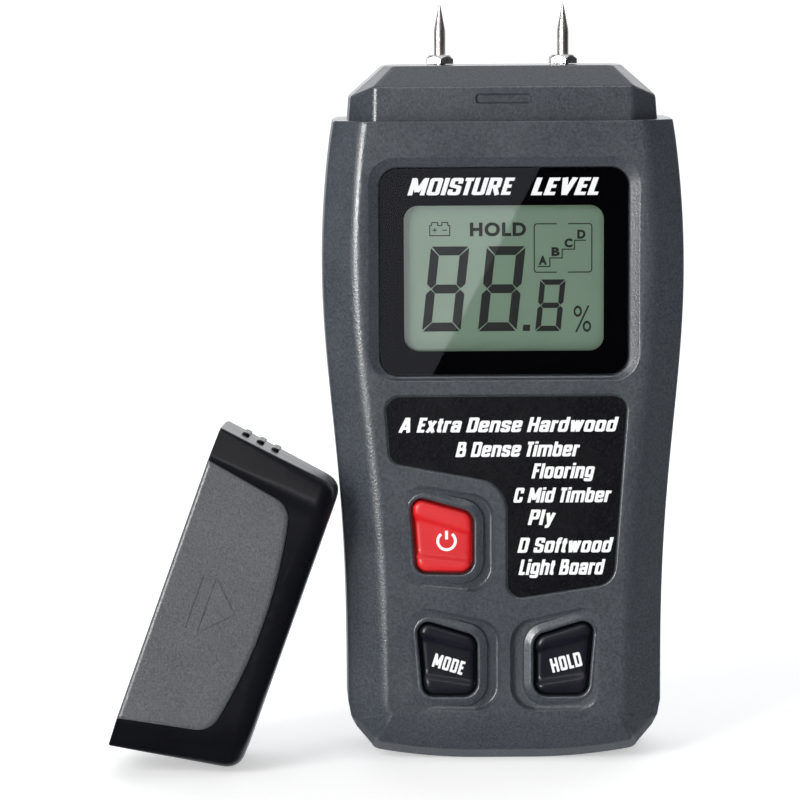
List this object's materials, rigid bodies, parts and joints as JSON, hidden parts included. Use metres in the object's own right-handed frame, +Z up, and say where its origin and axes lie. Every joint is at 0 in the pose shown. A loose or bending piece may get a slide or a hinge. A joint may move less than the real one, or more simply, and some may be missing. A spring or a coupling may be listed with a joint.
{
  "type": "moisture meter",
  "caption": "Handheld pin moisture meter with a display window, three keys, a battery door and a pull-off pin cap that leans on its side.",
  "frame": {"origin": "centre of the flat base that the meter stands on", "axes": "+X to the meter's right seen from the display side, +Y from the display to the battery door, +Z up towards the pins"},
  "size_m": [0.1061, 0.042, 0.1393],
  "materials": {
    "housing": "fine spark-textured slate grey moulding",
    "soft_black": "satin black moulding",
    "red_key": "satin red key",
    "lens": "clear glossy window with a printed black border",
    "display": "grey-green liquid crystal glass",
    "reflector": "matt silver reflector film",
    "board": "green solder mask on glass-fibre board",
    "steel": "turned nickel-plated steel",
    "brass": "machined brass",
    "label": "fine-grained black overlay with white print",
    "rubber": "black elastomer",
    "foam": "grey foam",
    "red_wire": "red wire insulation",
    "battery_wrap": "plain printed battery wrap"
  },
  "bodies": {
    "meter": {"front_shell": "housing", "rear_shell": "housing", "window_lens": "lens", "lens_tape": "rubber", "species_label": "label", "display_glass": "display", "display_reflector": "reflector", "display_frame": "soft_black", "zebra_strip_lower": "rubber", "zebra_strip_upper": "rubber", "circuit_board": "board", "controller_chip": "soft_black", "buzzer": "soft_black", "filter_capacitor": "steel", "battery_9v": "battery_wrap", "battery_terminal_positive": "steel", "battery_terminal_negative": "steel", "battery_clip": "soft_black", "battery_lead_red": "red_wire", "battery_lead_black": "soft_black", "battery_foam": "foam", "power_switch": "steel", "mode_switch": "steel", "hold_switch": "steel", "electrode_pin_left": "steel", "collar_nut_left": "steel", "threaded_insert_left": "brass", "electrode_lead_left": "soft_black", "electrode_pin_right": "steel", "collar_nut_right": "steel", "threaded_insert_right": "brass", "electrode_lead_right": "soft_black", "housing_screw_1": "steel", "housing_screw_2": "steel", "housing_screw_3": "steel", "housing_screw_4": "steel", "board_screw_1": "steel", "board_screw_2": "steel", "board_screw_3": "steel"},
    "battery_door": {"battery_door": "housing"},
    "cap": {"cap_shell": "soft_black", "cap_front_panel": "housing", "cap_rear_panel": "housing"},
    "power_key": {"power_key": "red_key", "power_switch_plunger": "soft_black"},
    "mode_key": {"mode_key": "soft_black", "mode_switch_plunger": "soft_black"},
    "hold_key": {"hold_key": "soft_black", "hold_switch_plunger": "soft_black"}
  },
  "joints": [
    {"name": "cap_pull", "type": "slide", "parent": "meter", "child": "cap", "axis": [-1, 0, 0], "range_m": [0, 0.06]},
    {"name": "battery_door_hinge", "type": "hinge", "parent": "meter", "child": "battery_door", "pos_m": [0, 0.015, 0.0715], "axis": [1, 0, 0], "range_deg": [0, 60]},
    {"name": "power_key_press", "type": "slide", "parent": "meter", "child": "power_key", "axis": [0, 1, 0], "range_m": [0, 0.0006], "stiffness_N_per_m": 300},
    {"name": "mode_key_press", "type": "slide", "parent": "meter", "child": "mode_key", "axis": [0, 1, 0], "range_m": [0, 0.0006], "stiffness_N_per_m": 300},
    {"name": "hold_key_press", "type": "slide", "parent": "meter", "child": "hold_key", "axis": [0, 1, 0], "range_m": [0, 0.0006], "stiffness_N_per_m": 300}
  ]
}
